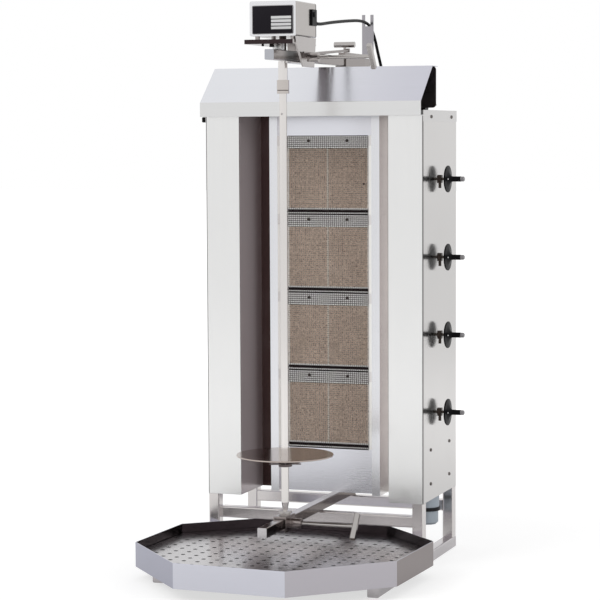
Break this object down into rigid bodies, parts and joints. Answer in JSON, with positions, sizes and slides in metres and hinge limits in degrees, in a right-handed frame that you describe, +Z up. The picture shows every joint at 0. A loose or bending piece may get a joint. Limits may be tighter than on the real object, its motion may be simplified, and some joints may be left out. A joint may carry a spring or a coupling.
{
  "type": "vertical gas doner grill",
  "caption": "Vertical gas doner grill: infrared burners in a recessed steel body, geared spit drive on a telescoping arm, sliding lower bearing and octagonal drip tray.",
  "frame": {"origin": "bottom centre of the bounding box of everything but the mains lead, on the floor", "axes": "+Z up along the spit, -Y to the front where the tray lies, +X to the side with the knobs"},
  "size_m": [0.608, 0.9329, 1.22],
  "materials": {
    "body_steel": "fine vertical brushing",
    "side_steel": "half polished",
    "hood_steel": "fine brushing",
    "frame_steel": "brushed",
    "tray_steel": "satin",
    "arm_steel": "satin",
    "spit_steel": "polished",
    "ceramic": "porous fired clay",
    "mesh_steel": "dull wire",
    "gas_brass": "turned",
    "regulator_alloy": "cast, painted pale",
    "ring_dark": "dull",
    "knob_black": "gloss",
    "box_steel": "satin",
    "plate_dark": "matt",
    "black_plastic": "fine texture",
    "motor_iron": "plain",
    "bearing_bronze": "turned",
    "screw_steel": "plain",
    "lead_pvc": "smooth"
  },
  "bodies": {
    "grill": {"floor_runners": "frame_steel", "legs_and_rails": "frame_steel", "left_side_panel": "side_steel", "right_side_panel": "side_steel", "right_pillar": "body_steel", "left_pillar": "body_steel", "rear_panel": "body_steel", "floor_pan": "body_steel", "top_cover": "body_steel", "panel_screws": "screw_steel", "burner_side_channels": "body_steel", "blank_panels": "body_steel", "perforated_strips": "body_steel", "burner_boxes": "body_steel", "ceramic_tiles": "ceramic", "mesh_guards": "mesh_steel", "venturi_tubes": "body_steel", "gas_valves": "gas_brass", "valve_nuts": "screw_steel", "gas_manifold": "gas_brass", "gas_regulator": "regulator_alloy", "regulator_ring": "ring_dark", "hood_front": "hood_steel", "hood_back": "hood_steel", "lower_arm": "arm_steel", "upper_sleeve": "arm_steel", "arm_post": "arm_steel", "arm_stay": "arm_steel", "cable_fork": "box_steel", "mains_lead": "lead_pvc", "mains_coil": "lead_pvc", "mains_plug": "black_plastic"},
    "head": {"upper_arm": "arm_steel", "motor_bracket": "arm_steel", "motor_box": "box_steel", "motor_box_cover": "box_steel", "box_plate": "plate_dark", "motor_stator": "motor_iron", "head_bearings": "bearing_bronze", "switch_block": "black_plastic", "cable_gland": "black_plastic"},
    "rocker": {"rocker_switch": "knob_black"},
    "rotor": {"motor_rotor": "motor_iron"},
    "drive": {"drive_shaft": "spit_steel"},
    "coupling": {"drive_coupling": "spit_steel"},
    "spit": {"spit": "spit_steel"},
    "disc": {"meat_disc": "spit_steel", "disc_collar": "spit_steel"},
    "saddle": {"lower_saddle": "arm_steel", "bearing_cup": "spit_steel"},
    "lower_clamp": {"lower_clamp_screw": "screw_steel"},
    "sleeve_clamp": {"sleeve_clamp_screw": "screw_steel"},
    "head_clamp": {"head_clamp_screw": "screw_steel"},
    "tray": {"drip_tray": "tray_steel"},
    "insert_l": {"insert_left": "tray_steel"},
    "insert_r": {"insert_right": "tray_steel"},
    "knob_1": {"knob_1": "knob_black"},
    "knob_2": {"knob_2": "knob_black"},
    "knob_3": {"knob_3": "knob_black"},
    "knob_4": {"knob_4": "knob_black"}
  },
  "joints": [
    {"name": "knob_1_turn", "type": "hinge", "parent": "grill", "child": "knob_1", "pos_m": [0.264, 0.17854, 0.8425], "axis": [1, 0, 0], "range_deg": [0, 180]},
    {"name": "knob_2_turn", "type": "hinge", "parent": "grill", "child": "knob_2", "pos_m": [0.264, 0.17854, 0.6705], "axis": [1, 0, 0], "range_deg": [0, 180]},
    {"name": "knob_3_turn", "type": "hinge", "parent": "grill", "child": "knob_3", "pos_m": [0.264, 0.17854, 0.4985], "axis": [1, 0, 0], "range_deg": [0, 180]},
    {"name": "knob_4_turn", "type": "hinge", "parent": "grill", "child": "knob_4", "pos_m": [0.264, 0.17854, 0.3265], "axis": [1, 0, 0], "range_deg": [0, 180]},
    {"name": "head_slide", "type": "slide", "parent": "grill", "child": "head", "axis": [0, -1, 0], "range_m": [0, 0.06]},
    {"name": "saddle_slide", "type": "slide", "parent": "grill", "child": "saddle", "axis": [0, -1, 0], "range_m": [0, 0.06]},
    {"name": "rocker_rock", "type": "hinge", "parent": "head", "child": "rocker", "pos_m": [0.0534, -0.09596, 1.192], "axis": [0, 0, -1], "range_deg": [0, 8]},
    {"name": "spit_spin", "type": "hinge", "parent": "head", "child": "drive", "pos_m": [-0.002, -0.14246, 1.152], "axis": [0, 0, 1], "continuous": true},
    {"name": "rotor_spin", "type": "hinge", "parent": "head", "child": "rotor", "pos_m": [-0.03169, -0.11276, 1.152], "axis": [0, 0, 1], "continuous": true},
    {"name": "coupling_lift", "type": "slide", "parent": "drive", "child": "coupling", "axis": [0, 0, 1], "range_m": [0, 0.014]},
    {"name": "spit_lift", "type": "slide", "parent": "drive", "child": "spit", "axis": [0, 0, 1], "range_m": [0, 0.01]},
    {"name": "disc_height", "type": "slide", "parent": "spit", "child": "disc", "axis": [0, 0, 1], "range_m": [-0.04, 0.5]},
    {"name": "lower_clamp_turn", "type": "hinge", "parent": "saddle", "child": "lower_clamp", "pos_m": [0.148, -0.14246, 0.119], "axis": [1, 0, 0], "range_deg": [0, 360]},
    {"name": "head_clamp_turn", "type": "hinge", "parent": "head", "child": "head_clamp", "pos_m": [0.148, -0.01946, 1.10625], "axis": [1, 0, 0], "range_deg": [0, 360]},
    {"name": "sleeve_clamp_turn", "type": "hinge", "parent": "grill", "child": "sleeve_clamp", "pos_m": [-0.002, 0.26954, 1.144], "axis": [0, 0, 1], "range_deg": [0, 360]},
    {"name": "tray_slide", "type": "slide", "parent": "grill", "child": "tray", "axis": [-0.0436, -0.999, 0], "range_m": [0, 0.35]},
    {"name": "insert_left_lift", "type": "slide", "parent": "tray", "child": "insert_l", "axis": [0, 0, 1], "range_m": [0, 0.025]},
    {"name": "insert_right_lift", "type": "slide", "parent": "tray", "child": "insert_r", "axis": [0, 0, 1], "range_m": [0, 0.025]}
  ],
  "couplings": [
    {"joint": "rotor_spin", "follows": "spit_spin", "ratio": -3},
    {"joint": "saddle_slide", "follows": "head_slide", "ratio": 1}
  ]
}
